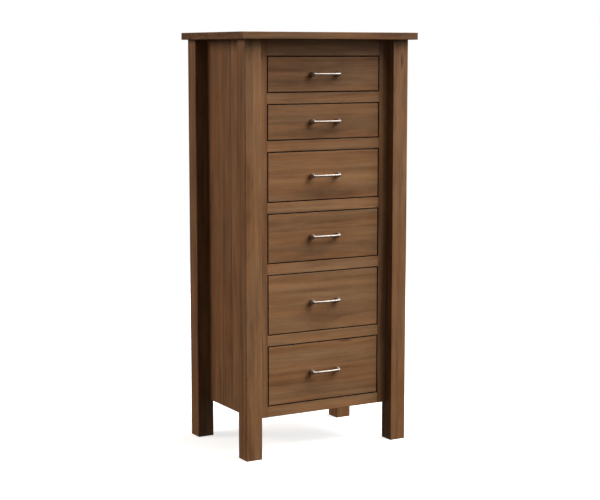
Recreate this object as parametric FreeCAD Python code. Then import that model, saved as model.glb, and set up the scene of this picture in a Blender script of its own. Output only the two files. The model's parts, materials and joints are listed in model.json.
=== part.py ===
import FreeCAD, Part
import math
import os

Vector = FreeCAD.Vector

# A tall chest of six inset drawers between four full-height legs. Millimetres, +Z up, front to -Y.
# The origin is on the floor, under the middle of the top board.

# Case, measured over the legs, and the board on top of it.
overall_height = 1372.0
case_width = 607.0
case_depth = 414.0
top_thickness = 23.0
top_side_overhang = 22.0
top_front_overhang = 25.0
top_back_overhang = 4.0

# Legs, side panels and the face frame.
leg_size = 57.0
floor_clearance = 129.0
side_panel_thickness = 16.0
front_recess = 30.0
frame_thickness = 22.0
stile_width = 36.5
top_rail_height = 52.0
rail_height = 35.0
bottom_rail_height = 36.0

# Drawer openings from the top down: two small, two medium, and two that share what is left.
small_opening_height = 117.0
medium_opening_height = 163.0

# Joints of the case.
panel_tongue = 8.0
stile_tongue = 6.0
tenon_length = 20.0
tenon_thickness = 8.0
tenon_shoulder = 5.0
tenon_end_gap = 1.0
tongue_end_gap = 0.5

# Back of the case and the strips inside it.
rear_rail_height = 60.0
rear_rail_thickness = 20.0
rear_rail_inset = 4.5
back_panel_thickness = 6.0
back_groove_depth = 8.0
batten_height = 60.0
cleat_size = 20.0
cleat_end_gap = 20.0

# Drawers.
drawer_gap = 3.0
drawer_front_thickness = 20.0
drawer_side_thickness = 12.0
drawer_back_thickness = 12.0
drawer_bottom_thickness = 6.0
drawer_bottom_groove_depth = 6.0
drawer_bottom_rise = 10.0
space_below_box = 10.0
space_above_box = 15.0
space_behind_box = 26.5
front_lip = 8.0
tail_pitch = 36.0
tail_slope = math.radians(8.0)
pin_width = 6.0

# Three-member slides. Each pair of nested flanges leaves a race for the balls.
slide_thickness = 12.7
slide_height = 45.0
slide_sheet = 1.2
slide_race = 3.3
slide_play = 0.6
slide_web_space = 1.0
outer_flange_setback = 2.7
middle_flange_setback = 1.7
slide_front_gap = 2.0
slide_rear_shortfall = 18.0
slide_rise = 8.0
slide_screw_inset = 37.0

# Handles.
handle_centres = 96.0
handle_projection = 28.0
handle_bar_radius = 4.0
handle_bow = 4.0
handle_base_radius = 8.0
handle_base_thickness = 1.0
handle_shoulder_setback = 3.0
handle_shoulder_margin = 2.5
handle_tip_cover = 1.0
handle_tip_radius = 0.8

# Screws.
wood_screw_radius = 2.0
wood_screw_head_radius = 4.0
wood_screw_head_depth = 2.5
batten_screw_length = 45.0
cleat_screw_length = 30.0
cleat_screw_inset = 40.0
slide_screw_radius = 1.75
slide_screw_head_radius = 3.5
slide_screw_head_height = 1.0
slide_screw_case_length = 16.0
slide_screw_drawer_length = 10.0
machine_screw_radius = 2.0
machine_screw_head_radius = 4.0
machine_screw_head_height = 2.5
machine_screw_grip = 8.0
machine_screw_clearance = 0.25

# Softened edges.
top_edge_radius = 2.0
leg_edge_radius = 2.0
drawer_edge_radius = 1.5
rail_edge_radius = 1.0

# Planes across the case, measured out from its middle.
case_half = case_width / 2
leg_inner = case_half - leg_size
panel_outer = leg_inner + side_panel_thickness
opening_half = leg_inner - stile_width
top_half = case_half + top_side_overhang

# Planes from front to back.
top_depth = case_depth + top_front_overhang + top_back_overhang
top_front = -top_depth / 2
top_back = top_depth / 2
case_front = top_front + top_front_overhang
case_back = case_front + case_depth
front_leg_back = case_front + leg_size
rear_leg_front = case_back - leg_size
cleat_front = front_leg_back + cleat_end_gap
cleat_back = rear_leg_front - cleat_end_gap
face_front = case_front + front_recess
frame_back = face_front + frame_thickness
frame_middle = face_front + frame_thickness / 2
rear_rail_back = case_back - rear_rail_inset
rear_rail_front = rear_rail_back - rear_rail_thickness
back_middle = (rear_rail_back + rear_rail_front) / 2
back_panel_front = back_middle - back_panel_thickness / 2

# Levels.
frame_bottom = floor_clearance
frame_top = overall_height - top_thickness
rails_between_drawers = 5
rail_heights_total = bottom_rail_height + top_rail_height + rails_between_drawers * rail_height
set_openings_total = 2 * small_opening_height + 2 * medium_opening_height
large_opening_height = (frame_top - frame_bottom - rail_heights_total - set_openings_total) / 2

# Drawer box and slides, which fit the openings and the depth of the case.
box_half = opening_half - slide_thickness
box_inner = box_half - drawer_side_thickness
box_front = face_front + drawer_front_thickness
box_back = back_panel_front - space_behind_box
box_tail_depth = drawer_front_thickness - front_lip
slide_front = box_front + slide_front_gap
slide_back = box_back - slide_rear_shortfall
slide_screw_places = (slide_front + slide_screw_inset, slide_back - slide_screw_inset)
slide_middle_rise = space_below_box + slide_rise + slide_height / 2


def opening_levels():
    """Lower edge and height of each drawer opening, from the top drawer down."""
    heights = [small_opening_height] * 2 + [medium_opening_height] * 2 + [large_opening_height] * 2
    levels = []
    upper_edge = frame_top - top_rail_height
    for height in heights:
        lower_edge = upper_edge - height
        levels.append((lower_edge, height))
        upper_edge = lower_edge - rail_height
    return levels


def block(x_range, y_range, z_range):
    """A box between two planes in each direction, given in either order."""
    low = Vector(min(x_range), min(y_range), min(z_range))
    high = Vector(max(x_range), max(y_range), max(z_range))
    size = high - low
    return Part.makeBox(size.x, size.y, size.z, low)


def prism(points, direction):
    """A closed outline pushed along a direction."""
    outline = Part.makePolygon(points + [points[0]])
    return Part.Face(outline).extrude(direction)


def rounded(shape, radius, wanted):
    """The shape with each edge whose middle passes the test rounded over."""
    edges = [edge for edge in shape.Edges if wanted(edge.CenterOfMass)]
    return shape.makeFillet(radius, edges)


def near(value, target):
    """Whether two places along an axis are the same."""
    return abs(value - target) < 0.001


def drilled(shape, cutters):
    """The shape with every cutter that reaches it taken away."""
    for cutter in cutters:
        if shape.BoundBox.intersect(cutter.BoundBox):
            shape = shape.cut(cutter)
    return shape


def flush_screw(start, direction, length):
    """A countersunk wood screw whose flat head ends at the surface it starts from."""
    head = Part.makeCone(wood_screw_head_radius, wood_screw_radius, wood_screw_head_depth, start, direction)
    shank = Part.makeCylinder(wood_screw_radius, length, start, direction)
    return head.fuse(shank).removeSplitter()


def pan_screw(seat, direction, length, radius, head_radius, head_height):
    """A screw with a flat-topped head that stands on its seat."""
    head = Part.makeCylinder(head_radius, head_height, seat - direction * head_height, direction)
    shank = Part.makeCylinder(radius, length, seat, direction)
    return head.fuse(shank).removeSplitter()


# Joints cut in both pieces that meet.

def panel_tongues(side, end_gap):
    """Tongues of a side panel that stand in the grooves of its two legs."""
    middle = (leg_inner + panel_outer) / 2
    x_range = (side * (middle - panel_tongue / 2), side * (middle + panel_tongue / 2))
    reach = panel_tongue + end_gap
    z_range = (frame_bottom, frame_top)
    front = block(x_range, (front_leg_back - reach, front_leg_back), z_range)
    rear = block(x_range, (rear_leg_front, rear_leg_front + reach), z_range)
    return [front, rear]


def stile_tongue_block(side, end_gap):
    """Tongue of a stile that stands in the groove of its front leg."""
    x_range = (side * leg_inner, side * (leg_inner + stile_tongue + end_gap))
    y_range = (frame_middle - stile_tongue / 2, frame_middle + stile_tongue / 2)
    return block(x_range, y_range, (frame_bottom, frame_top))


def tenons(start, middle, z_range, end_gap):
    """Tenons at both ends of a rail, from the shoulders outwards."""
    reach = start + tenon_length + end_gap
    y_range = (middle - tenon_thickness / 2, middle + tenon_thickness / 2)
    z_inner = (z_range[0] + tenon_shoulder, z_range[1] - tenon_shoulder)
    return [block((side * start, side * reach), y_range, z_inner) for side in (-1, 1)]


def frame_rail_levels():
    """Lower and upper edge of each rail of the face frame: top, the five between, bottom."""
    levels = [(frame_top - top_rail_height, frame_top)]
    for lower_edge, height in opening_levels()[:-1]:
        levels.append((lower_edge - rail_height, lower_edge))
    levels.append((frame_bottom, frame_bottom + bottom_rail_height))
    return levels


def rear_rail_levels():
    """Lower and upper edge of the two rear rails."""
    return [(frame_bottom, frame_bottom + rear_rail_height), (frame_top - rear_rail_height, frame_top)]


def rear_groove():
    """Space in the rear legs and rails that holds the edges of the back panel."""
    reach = leg_inner + back_groove_depth
    y_range = (back_panel_front, back_panel_front + back_panel_thickness)
    low = frame_bottom + rear_rail_height - back_groove_depth
    high = frame_top - rear_rail_height + back_groove_depth
    return block((-reach, reach), y_range, (low, high))


# Screws of the case.

def batten_screws():
    """Two flush screws through each batten, one into the side panel and one into the rear leg."""
    panel_place = (slide_screw_places[0] + slide_screw_places[1]) / 2
    leg_place = (rear_leg_front + rear_rail_front) / 2
    screws = []
    for lower_edge, height in opening_levels():
        level = lower_edge + slide_middle_rise
        for side in (-1, 1):
            for place in (panel_place, leg_place):
                start = Vector(side * opening_half, place, level)
                screws.append(flush_screw(start, Vector(side, 0, 0), batten_screw_length))
    return screws


def cleat_screws():
    """Four screws in each cleat: two up into the top and two out into the side panel."""
    end = (cleat_back - cleat_front) / 2 - cleat_screw_inset
    middle = (cleat_front + cleat_back) / 2
    screws = []
    for side in (-1, 1):
        x_middle = side * (leg_inner - cleat_size / 2)
        for place in (middle - end, middle + end):
            start = Vector(x_middle, place, frame_top - cleat_size)
            screws.append(flush_screw(start, Vector(0, 0, 1), cleat_screw_length))
        for place in (middle - end / 2, middle + end / 2):
            start = Vector(side * (leg_inner - cleat_size), place, frame_top - cleat_size / 2)
            screws.append(flush_screw(start, Vector(side, 0, 0), cleat_screw_length))
    return screws


def case_slide_screws():
    """Two screws that hold each case member of a slide to its batten."""
    screws = []
    for lower_edge, height in opening_levels():
        for side in (-1, 1):
            for place in slide_screw_places:
                seat = Vector(side * (opening_half - slide_sheet), place, lower_edge + slide_middle_rise)
                screws.append(pan_screw(seat, Vector(side, 0, 0), slide_screw_case_length,
                                        slide_screw_radius, slide_screw_head_radius,
                                        slide_screw_head_height))
    return screws


# Pieces of the case.

def top_board():
    """The board on top, with all its edges softened."""
    board = block((-top_half, top_half), (top_front, top_back), (frame_top, overall_height))
    return board.makeFillet(top_edge_radius, board.Edges)


def leg(side, is_front):
    """A square leg with the grooves and mortises of the pieces that join it."""
    y_range = (case_front, front_leg_back) if is_front else (rear_leg_front, case_back)
    blank = block((side * leg_inner, side * case_half), y_range, (0, frame_top))
    shape = rounded(blank, leg_edge_radius, lambda middle: not near(middle.z, frame_top))
    cutters = panel_tongues(side, tongue_end_gap)
    if is_front:
        cutters.append(stile_tongue_block(side, tongue_end_gap))
    else:
        cutters.append(rear_groove())
        for z_range in rear_rail_levels():
            cutters.extend(tenons(leg_inner, back_middle, z_range, tenon_end_gap))
    return drilled(shape, cutters)


def side_panel(side):
    """The board between the two legs of one side."""
    x_range = (side * leg_inner, side * panel_outer)
    board = block(x_range, (front_leg_back, rear_leg_front), (frame_bottom, frame_top))
    return board.multiFuse(panel_tongues(side, 0)).removeSplitter()


def stile(side):
    """An upright of the face frame, with a tongue for its leg and a mortise for each rail."""
    x_range = (side * opening_half, side * leg_inner)
    board = block(x_range, (face_front, frame_back), (frame_bottom, frame_top))
    board = board.fuse(stile_tongue_block(side, 0)).removeSplitter()
    cutters = []
    for z_range in frame_rail_levels():
        cutters.extend(tenons(opening_half, frame_middle, z_range, tenon_end_gap))
    return drilled(board, cutters)


def frame_rail(z_range):
    """A rail of the face frame with a tenon at each end."""
    board = block((-opening_half, opening_half), (face_front, frame_back), z_range)
    board = rounded(board, rail_edge_radius,
                    lambda middle: near(middle.y, face_front) and near(middle.x, 0))
    return board.multiFuse(tenons(opening_half, frame_middle, z_range, 0)).removeSplitter()


def rear_rail(z_range):
    """A rail between the rear legs, grooved for the back panel."""
    board = block((-leg_inner, leg_inner), (rear_rail_front, rear_rail_back), z_range)
    board = board.multiFuse(tenons(leg_inner, back_middle, z_range, 0)).removeSplitter()
    return board.cut(rear_groove())


def back_panel():
    """The thin panel held all round in the grooves of the rear legs and rails."""
    reach = leg_inner + back_groove_depth - tongue_end_gap
    y_range = (back_panel_front, back_panel_front + back_panel_thickness)
    low = frame_bottom + rear_rail_height - back_groove_depth + tongue_end_gap
    high = frame_top - rear_rail_height + back_groove_depth - tongue_end_gap
    return block((-reach, reach), y_range, (low, high))


def slide_battens():
    """A strip behind each stile at every drawer, which carries the slides."""
    strips = []
    for lower_edge, height in opening_levels():
        level = lower_edge + slide_middle_rise
        z_range = (level - batten_height / 2, level + batten_height / 2)
        for side in (-1, 1):
            x_range = (side * opening_half, side * leg_inner)
            strips.append(block(x_range, (frame_back, rear_rail_front), z_range))
    return strips


def top_cleats():
    """Two strips under the top, along the side panels."""
    z_range = (frame_top - cleat_size, frame_top)
    return [block((side * (leg_inner - cleat_size), side * leg_inner), (cleat_front, cleat_back), z_range)
            for side in (-1, 1)]


# Slides. Each member is a shallow channel with its web upright, measured in from the batten's face.

def channel(side, web_start, web_end, flange_end, half_height, level):
    """A channel with its web and the ends of its flanges at set distances from the batten's face."""
    inner = half_height - slide_sheet
    outline = [(web_start, -half_height), (flange_end, -half_height), (flange_end, -inner),
               (web_end, -inner), (web_end, inner), (flange_end, inner),
               (flange_end, half_height), (web_start, half_height)]
    points = [Vector(side * (opening_half - x), slide_front, level + z) for x, z in outline]
    return prism(points, Vector(0, slide_back - slide_front, 0))


def slide_half_heights():
    """Half the height of the case, middle and drawer members, each nested in the one before."""
    step = slide_sheet + slide_race
    return slide_height / 2, slide_height / 2 - step, slide_height / 2 - 2 * step


def case_member(side, level):
    """The member of a slide that is screwed to the batten."""
    flange_end = slide_thickness - outer_flange_setback
    return channel(side, 0, slide_sheet, flange_end, slide_half_heights()[0], level)


def middle_member(side, level):
    """The member between the two that are screwed on."""
    web_start = slide_sheet + slide_screw_head_height + slide_play
    flange_end = slide_thickness - middle_flange_setback
    return channel(side, web_start, web_start + slide_sheet, flange_end, slide_half_heights()[1], level)


def drawer_member(side, level):
    """The member of a slide that is screwed to the side of the drawer, opening outwards."""
    web_inner = slide_thickness - slide_sheet
    flange_end = 2 * slide_sheet + slide_screw_head_height + slide_play + slide_web_space
    return channel(side, slide_thickness, web_inner, flange_end, slide_half_heights()[2], level)


def case_members(screws):
    """The case members of all the slides, drilled for their screws."""
    return [drilled(case_member(side, lower_edge + slide_middle_rise), screws)
            for lower_edge, height in opening_levels() for side in (-1, 1)]


# Pieces of one drawer. Its opening is given by the level of its lower edge and its height.

def tails(x_range, y_root, y_tip, z_range):
    """Dovetail tails of a side board, from the shoulder line out to their wide ends."""
    height = z_range[1] - z_range[0]
    count = max(2, round(height / tail_pitch))
    pitch = height / count
    half_tip = (pitch - pin_width) / 2
    half_root = half_tip - abs(y_tip - y_root) * math.tan(tail_slope)
    shapes = []
    for index in range(count):
        middle = z_range[0] + pitch * (index + 0.5)
        outline = [(y_root, middle - half_root), (y_tip, middle - half_tip),
                   (y_tip, middle + half_tip), (y_root, middle + half_root)]
        points = [Vector(x_range[0], y, z) for y, z in outline]
        shapes.append(prism(points, Vector(x_range[1] - x_range[0], 0, 0)))
    return shapes


def box_edges(lower_edge, height):
    """Levels of the lower and upper edges of a drawer box."""
    return lower_edge + space_below_box, lower_edge + height - space_above_box


def bottom_board_levels(lower_edge):
    """Levels of the lower and upper faces of the bottom board."""
    lower_face = lower_edge + space_below_box + drawer_bottom_rise
    return lower_face, lower_face + drawer_bottom_thickness


def front_tails(side, lower_edge, height):
    """Tails that lock a side into the back of the drawer front."""
    x_range = (side * box_inner, side * box_half)
    return tails(x_range, box_front, box_front - box_tail_depth, box_edges(lower_edge, height))


def back_tails(side, lower_edge, height):
    """Tails that lock a side through the drawer back, above the bottom board."""
    x_range = (side * box_inner, side * box_half)
    z_range = (bottom_board_levels(lower_edge)[1], box_edges(lower_edge, height)[1])
    return tails(x_range, box_back - drawer_back_thickness, box_back, z_range)


def bottom_groove(lower_edge):
    """Space for the bottom board in the front and both sides, open at the back."""
    reach = box_inner + drawer_bottom_groove_depth
    y_range = (box_front - box_tail_depth, box_back)
    return block((-reach, reach), y_range, bottom_board_levels(lower_edge))


def front_groove(lower_edge):
    """Space for the front edge of the bottom board in the back of the drawer front."""
    reach = box_inner + drawer_bottom_groove_depth
    y_range = (box_front - drawer_bottom_groove_depth, box_front)
    return block((-reach, reach), y_range, bottom_board_levels(lower_edge))


def handle_screws(lower_edge, height):
    """Two machine screws from inside the drawer into the feet of its handle."""
    level = lower_edge + height / 2
    length = drawer_front_thickness + machine_screw_grip
    return [pan_screw(Vector(side * handle_centres / 2, box_front, level), Vector(0, -1, 0), length,
                      machine_screw_radius, machine_screw_head_radius, machine_screw_head_height)
            for side in (-1, 1)]


def handle_screw_holes(lower_edge, height):
    """Clearance holes through the drawer front for the machine screws."""
    level = lower_edge + height / 2
    radius = machine_screw_radius + machine_screw_clearance
    return [Part.makeCylinder(radius, drawer_front_thickness,
                              Vector(side * handle_centres / 2, box_front, level), Vector(0, -1, 0))
            for side in (-1, 1)]


def drawer_slide_screws(lower_edge):
    """Two screws that hold each drawer member to the side of the drawer."""
    screws = []
    for side in (-1, 1):
        for place in slide_screw_places:
            seat = Vector(side * (box_half + slide_sheet), place, lower_edge + slide_middle_rise)
            screws.append(pan_screw(seat, Vector(-side, 0, 0), slide_screw_drawer_length,
                                    slide_screw_radius, slide_screw_head_radius,
                                    slide_screw_head_height))
    return screws


def drawer_front(lower_edge, height):
    """An inset front whose rabbeted ends carry the half-blind dovetails."""
    half_width = opening_half - drawer_gap
    z_range = (lower_edge + drawer_gap, lower_edge + height - drawer_gap)
    board = block((-half_width, half_width), (face_front, box_front), z_range)
    board = rounded(board, drawer_edge_radius, lambda middle: near(middle.y, face_front))
    cutters = [front_groove(lower_edge)] + handle_screw_holes(lower_edge, height)
    for side in (-1, 1):
        rabbet_y = (box_front - box_tail_depth, box_front)
        cutters.append(block((side * box_half, side * half_width), rabbet_y, z_range))
        cutters.extend(front_tails(side, lower_edge, height))
    return drilled(board, cutters)


def drawer_side(side, lower_edge, height, screws):
    """A side with tails at both ends and a groove for the bottom board."""
    low, high = box_edges(lower_edge, height)
    x_range = (side * box_inner, side * box_half)
    back_shoulder = box_back - drawer_back_thickness
    board = block(x_range, (box_front, back_shoulder), (low, high))
    heel = block(x_range, (back_shoulder, box_back), (low, bottom_board_levels(lower_edge)[1]))
    joined = [heel] + front_tails(side, lower_edge, height) + back_tails(side, lower_edge, height)
    board = board.multiFuse(joined).removeSplitter()
    return drilled(board, [bottom_groove(lower_edge)] + screws)


def drawer_back(lower_edge, height):
    """The back, which stands on the bottom board and holds the tails of both sides."""
    y_range = (box_back - drawer_back_thickness, box_back)
    z_range = (bottom_board_levels(lower_edge)[1], box_edges(lower_edge, height)[1])
    board = block((-box_half, box_half), y_range, z_range)
    cutters = back_tails(-1, lower_edge, height) + back_tails(1, lower_edge, height)
    return drilled(board, cutters)


def drawer_bottom(lower_edge):
    """The bottom board, slid in under the back."""
    reach = box_inner + drawer_bottom_groove_depth - tongue_end_gap
    start = box_front - drawer_bottom_groove_depth + tongue_end_gap
    return block((-reach, reach), (start, box_back), bottom_board_levels(lower_edge))


def handle_foot(side, level):
    """A round foot, broad at the drawer front, that rounds over in a dome about the bar's end."""
    middle_x = side * handle_centres / 2
    axis_distance = handle_projection - handle_bar_radius - handle_bow
    foot_length = axis_distance + handle_bar_radius + handle_tip_cover

    def at(distance, radius):
        return Vector(middle_x + radius, face_front - distance, level)

    rim = at(handle_base_thickness, handle_base_radius)
    shoulder = at(axis_distance - handle_shoulder_setback, handle_bar_radius + handle_shoulder_margin)
    tip = at(foot_length, handle_tip_radius)
    outline = [Part.LineSegment(at(0, 0), at(0, handle_base_radius)),
               Part.LineSegment(at(0, handle_base_radius), rim),
               Part.Arc(rim, shoulder, tip),
               Part.LineSegment(tip, at(foot_length, 0)),
               Part.LineSegment(at(foot_length, 0), at(0, 0))]
    face = Part.Face(Part.Wire([segment.toShape() for segment in outline]))
    return face.revolve(Vector(middle_x, face_front, level), Vector(0, 1, 0), 360)


def handle(lower_edge, height):
    """A bar bowed away from the drawer on two round feet, tapped for its screws."""
    level = lower_edge + height / 2
    half_span = handle_centres / 2
    bow_radius = (half_span ** 2 + handle_bow ** 2) / (2 * handle_bow)
    centre = Vector(0, face_front - handle_projection + handle_bar_radius + bow_radius, level)
    half_angle = math.asin(half_span / bow_radius)
    start = centre + Vector(-math.sin(half_angle), -math.cos(half_angle), 0) * bow_radius
    end = centre + Vector(math.sin(half_angle), -math.cos(half_angle), 0) * bow_radius
    tangent = Vector(math.cos(half_angle), -math.sin(half_angle), 0)
    section = Part.Face(Part.Wire(Part.makeCircle(handle_bar_radius, start, tangent)))
    bar = section.revolve(centre, Vector(0, 0, 1), math.degrees(2 * half_angle))
    caps = [Part.makeSphere(handle_bar_radius, point) for point in (start, end)]
    feet = [handle_foot(side, level) for side in (-1, 1)]
    body = bar.multiFuse(caps + feet).removeSplitter()
    return drilled(body, handle_screws(lower_edge, height))


def drawer_pieces(lower_edge, height):
    """Every piece of one drawer and its slides, by the end of its node's name."""
    level = lower_edge + slide_middle_rise
    screws = drawer_slide_screws(lower_edge)
    members = [drilled(drawer_member(side, level), screws) for side in (-1, 1)]
    return {
        "front": [drawer_front(lower_edge, height)],
        "sides": [drawer_side(side, lower_edge, height, screws) for side in (-1, 1)],
        "back": [drawer_back(lower_edge, height)],
        "bottom": [drawer_bottom(lower_edge)],
        "handle": [handle(lower_edge, height)] + handle_screws(lower_edge, height),
        "slide_members": members + screws,
        "middle_members": [middle_member(side, level) for side in (-1, 1)],
    }


def case_pieces():
    """Every piece of the case, by the name of its node."""
    wood_screws = batten_screws() + cleat_screws()
    slide_screws = case_slide_screws()
    screws = wood_screws + slide_screws
    rails = frame_rail_levels()
    pieces = {
        "top": [drilled(top_board(), wood_screws)],
        "top_rail": [frame_rail(rails[0])],
        "drawer_rails": [frame_rail(z_range) for z_range in rails[1:-1]],
        "bottom_rail": [frame_rail(rails[-1])],
        "rear_rails": [rear_rail(z_range) for z_range in rear_rail_levels()],
        "back_panel": [back_panel()],
        "slide_battens": [drilled(strip, screws) for strip in slide_battens()],
        "top_cleats": [drilled(strip, wood_screws) for strip in top_cleats()],
        "outer_slides": case_members(slide_screws),
        "case_screws": screws,
    }
    for side, side_name in ((-1, "left"), (1, "right")):
        pieces["front_" + side_name + "_leg"] = [leg(side, True)]
        pieces["rear_" + side_name + "_leg"] = [drilled(leg(side, False), wood_screws)]
        pieces[side_name + "_side_panel"] = [drilled(side_panel(side), wood_screws)]
        pieces[side_name + "_stile"] = [stile(side)]
    return pieces


def all_pieces():
    """Every node of the chest, by name, as a list of its solids."""
    pieces = case_pieces()
    for index, (lower_edge, height) in enumerate(opening_levels()):
        for ending, solids in drawer_pieces(lower_edge, height).items():
            pieces["drawer_" + str(index + 1) + "_" + ending] = solids
    return pieces


def write_parts():
    """Write each node to its own STEP file."""
    os.makedirs("parts", exist_ok=True)
    for name, solids in all_pieces().items():
        shape = solids[0] if len(solids) == 1 else Part.makeCompound(solids)
        shape.exportStep(os.path.join("parts", name + ".step"))
        print(name, len(solids), round(shape.Volume))


write_parts()
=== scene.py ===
"""Looks of a tall chest of drawers: stained wood, drawer boxes, pulls, runners and a plain studio."""
import json
import math

import bpy
from bpy.props import FloatProperty, FloatVectorProperty, IntProperty, PointerProperty
from mathutils import Matrix, Vector

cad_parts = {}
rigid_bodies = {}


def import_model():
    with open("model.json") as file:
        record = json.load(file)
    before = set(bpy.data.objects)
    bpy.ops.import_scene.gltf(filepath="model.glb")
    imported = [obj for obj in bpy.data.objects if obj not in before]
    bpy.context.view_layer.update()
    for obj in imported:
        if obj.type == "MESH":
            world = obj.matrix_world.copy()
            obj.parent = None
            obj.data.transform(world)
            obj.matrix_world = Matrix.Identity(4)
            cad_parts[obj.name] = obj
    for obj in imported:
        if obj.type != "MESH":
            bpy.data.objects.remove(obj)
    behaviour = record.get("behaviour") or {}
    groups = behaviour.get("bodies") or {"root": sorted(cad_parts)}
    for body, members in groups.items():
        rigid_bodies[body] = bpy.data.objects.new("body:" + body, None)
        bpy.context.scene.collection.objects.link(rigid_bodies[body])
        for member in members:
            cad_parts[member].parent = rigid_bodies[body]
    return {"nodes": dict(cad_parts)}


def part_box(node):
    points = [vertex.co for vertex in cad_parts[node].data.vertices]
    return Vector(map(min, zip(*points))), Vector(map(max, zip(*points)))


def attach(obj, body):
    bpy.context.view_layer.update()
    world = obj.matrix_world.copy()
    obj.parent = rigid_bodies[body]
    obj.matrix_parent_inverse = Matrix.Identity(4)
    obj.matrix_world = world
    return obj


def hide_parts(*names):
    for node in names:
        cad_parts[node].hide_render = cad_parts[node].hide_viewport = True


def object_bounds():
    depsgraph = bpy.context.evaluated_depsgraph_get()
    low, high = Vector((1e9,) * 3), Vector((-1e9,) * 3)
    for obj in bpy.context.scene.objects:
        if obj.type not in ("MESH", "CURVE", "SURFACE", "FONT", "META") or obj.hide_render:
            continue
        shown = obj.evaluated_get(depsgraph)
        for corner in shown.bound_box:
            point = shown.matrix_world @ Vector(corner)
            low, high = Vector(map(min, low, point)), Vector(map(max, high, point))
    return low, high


bl_info = {
    "name": "Tall Chest of Drawers",
    "version": (1, 0, 0),
    "blender": (4, 5, 0),
    "location": "View3D > Sidebar > Chest",
    "description": "Finishes a tall chest of drawers and sets it in a plain studio",
    "category": "Object",
}

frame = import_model()
CAD_LOW, CAD_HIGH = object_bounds()
DRAWERS = range(1, 7)
SIDES = (-1, 1)  # left and right, or below and above

# Widths of the staves that the boards are glued up from, in metres.
TOP_STAVE = 0.088
LEG_STAVE = 0.0285
PANEL_STAVE = 0.064
BACK_STAVE = 0.17
FRONT_STAVE = 0.11
WHOLE_BOARD = 0.3  # wider than the board, so it is all one piece

# How the boards of the chest are cut. A row is (node, grain axis, axis across the staves, width of
# the staves, how light the board is, whether it frames the drawers and so gets the painted shade of
# the gaps). How light the board is is mostly its own tone; the right stile's is a painted shadow.
CASE_BOARDS = (
    ("top", "X", "Y", TOP_STAVE, -0.28, False),
    ("front_left_leg", "Z", "X", LEG_STAVE, 0.0, False),
    ("front_right_leg", "Z", "X", LEG_STAVE, 0.0, False),
    ("rear_left_leg", "Z", "X", LEG_STAVE, 0.0, False),
    ("rear_right_leg", "Z", "X", LEG_STAVE, 0.0, False),
    ("left_side_panel", "Z", "Y", PANEL_STAVE, 0.04, False),
    ("right_side_panel", "Z", "Y", PANEL_STAVE, 0.04, False),
    ("left_stile", "Z", "X", WHOLE_BOARD, 0.0, True),
    # Painted shadow: the right stile is darker in place of the shadow that the front right leg casts on
    # it.
    ("right_stile", "Z", "X", WHOLE_BOARD, -0.2, True),
    ("top_rail", "X", "Z", WHOLE_BOARD, 0.0, True),
    ("drawer_rails", "X", "Z", WHOLE_BOARD, 0.13, True),
    ("bottom_rail", "X", "Z", WHOLE_BOARD, 0.13, True),
    ("rear_rails", "X", "Z", WHOLE_BOARD, 0.0, False),
    ("back_panel", "Z", "X", BACK_STAVE, 0.0, False),
)
FRONT_TONE_AND_LIGHT = (-0.02, 0.0, 0.16, 0.06, 0.2, 0.2)  # how light each drawer front is, from the top: partly its own tone, partly painted light, the lower fronts lighter in place of the light the floor throws up onto them
CASE_SEED, FRONT_SEED, BOX_SEED = 1.0, 20.0, 40.0  # where each group's boards start in the timber

# The wood's patterns: waves to the metre along the grain, across the staves and through the board.
KNOTS = (3.4, 9.0, 3.0)
WANDER = (2.4, 6.0, 6.0)
STREAKS = (4.0, 52.0, 52.0)
CLOUDS = (6.0, 12.0, 12.0)
FLUSHES = (3.5, 34.0, 34.0)
FIBRES = (14.0, 700.0, 700.0)
PORES = (60.0, 1500.0, 1500.0)
RUBS = 38.0
PITH_SPREAD = 0.12  # how far apart across the staves their piths lie, in metres
PITH_DEPTH = 0.035  # how far behind the board the pith lies, in metres

# Painted shade: the gaps round the drawers are painted dark, in place of the shade that falls in them.
# Lengths in metres.
FRAME_GAP_SHADE = 0.0002  # from the frame's face to where the painted shade starts
FRONT_GAP_SHADE = 0.0001  # from a drawer front's face to where the painted shade starts
GAP_SHADE_BLEND = 0.0007  # over which the painted shade reaches its full strength
GAP_SHADE_DEPTH = 0.005  # how far back the painted shade stays at full strength
GAP_SHADE_FADED = 0.0075  # how far back the painted shade has gone
GAP_SHADE_SEAM = 0.0014  # how far the painted shade creeps in from the edges of a board
GAP_SHADE_DARKNESS = 0.9

# Colours of the metals, and tints laid over the wood.
NICKEL = (0.38, 0.33, 0.29)
ZINC = (0.56, 0.58, 0.60)
SCREW_ZINC = (0.60, 0.60, 0.58)
CAGE_ZINC = (0.62, 0.63, 0.64)
WARM_PATCH = (1.12, 0.95, 0.80, 1.0)
# The black of the painted shade in the gaps round the drawers.
GAP_SHADE_BLACK = (0.0, 0.0, 0.0, 1.0)
WHITE = (1.0, 1.0, 1.0, 1.0)

POINT_RADIUS = 0.0001  # what a turned point is left at, in metres
POINT_BREAK = 0.0004  # length of the bevel at a screw's end, in metres

# Soft boxes: degrees round to the right from the front, and degrees up.
KEY_PLACE = (60.0, 31.0)
TOP_PLACE = (58.0, 60.0)
FILL_PLACE = (-120.0, 20.0)


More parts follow.
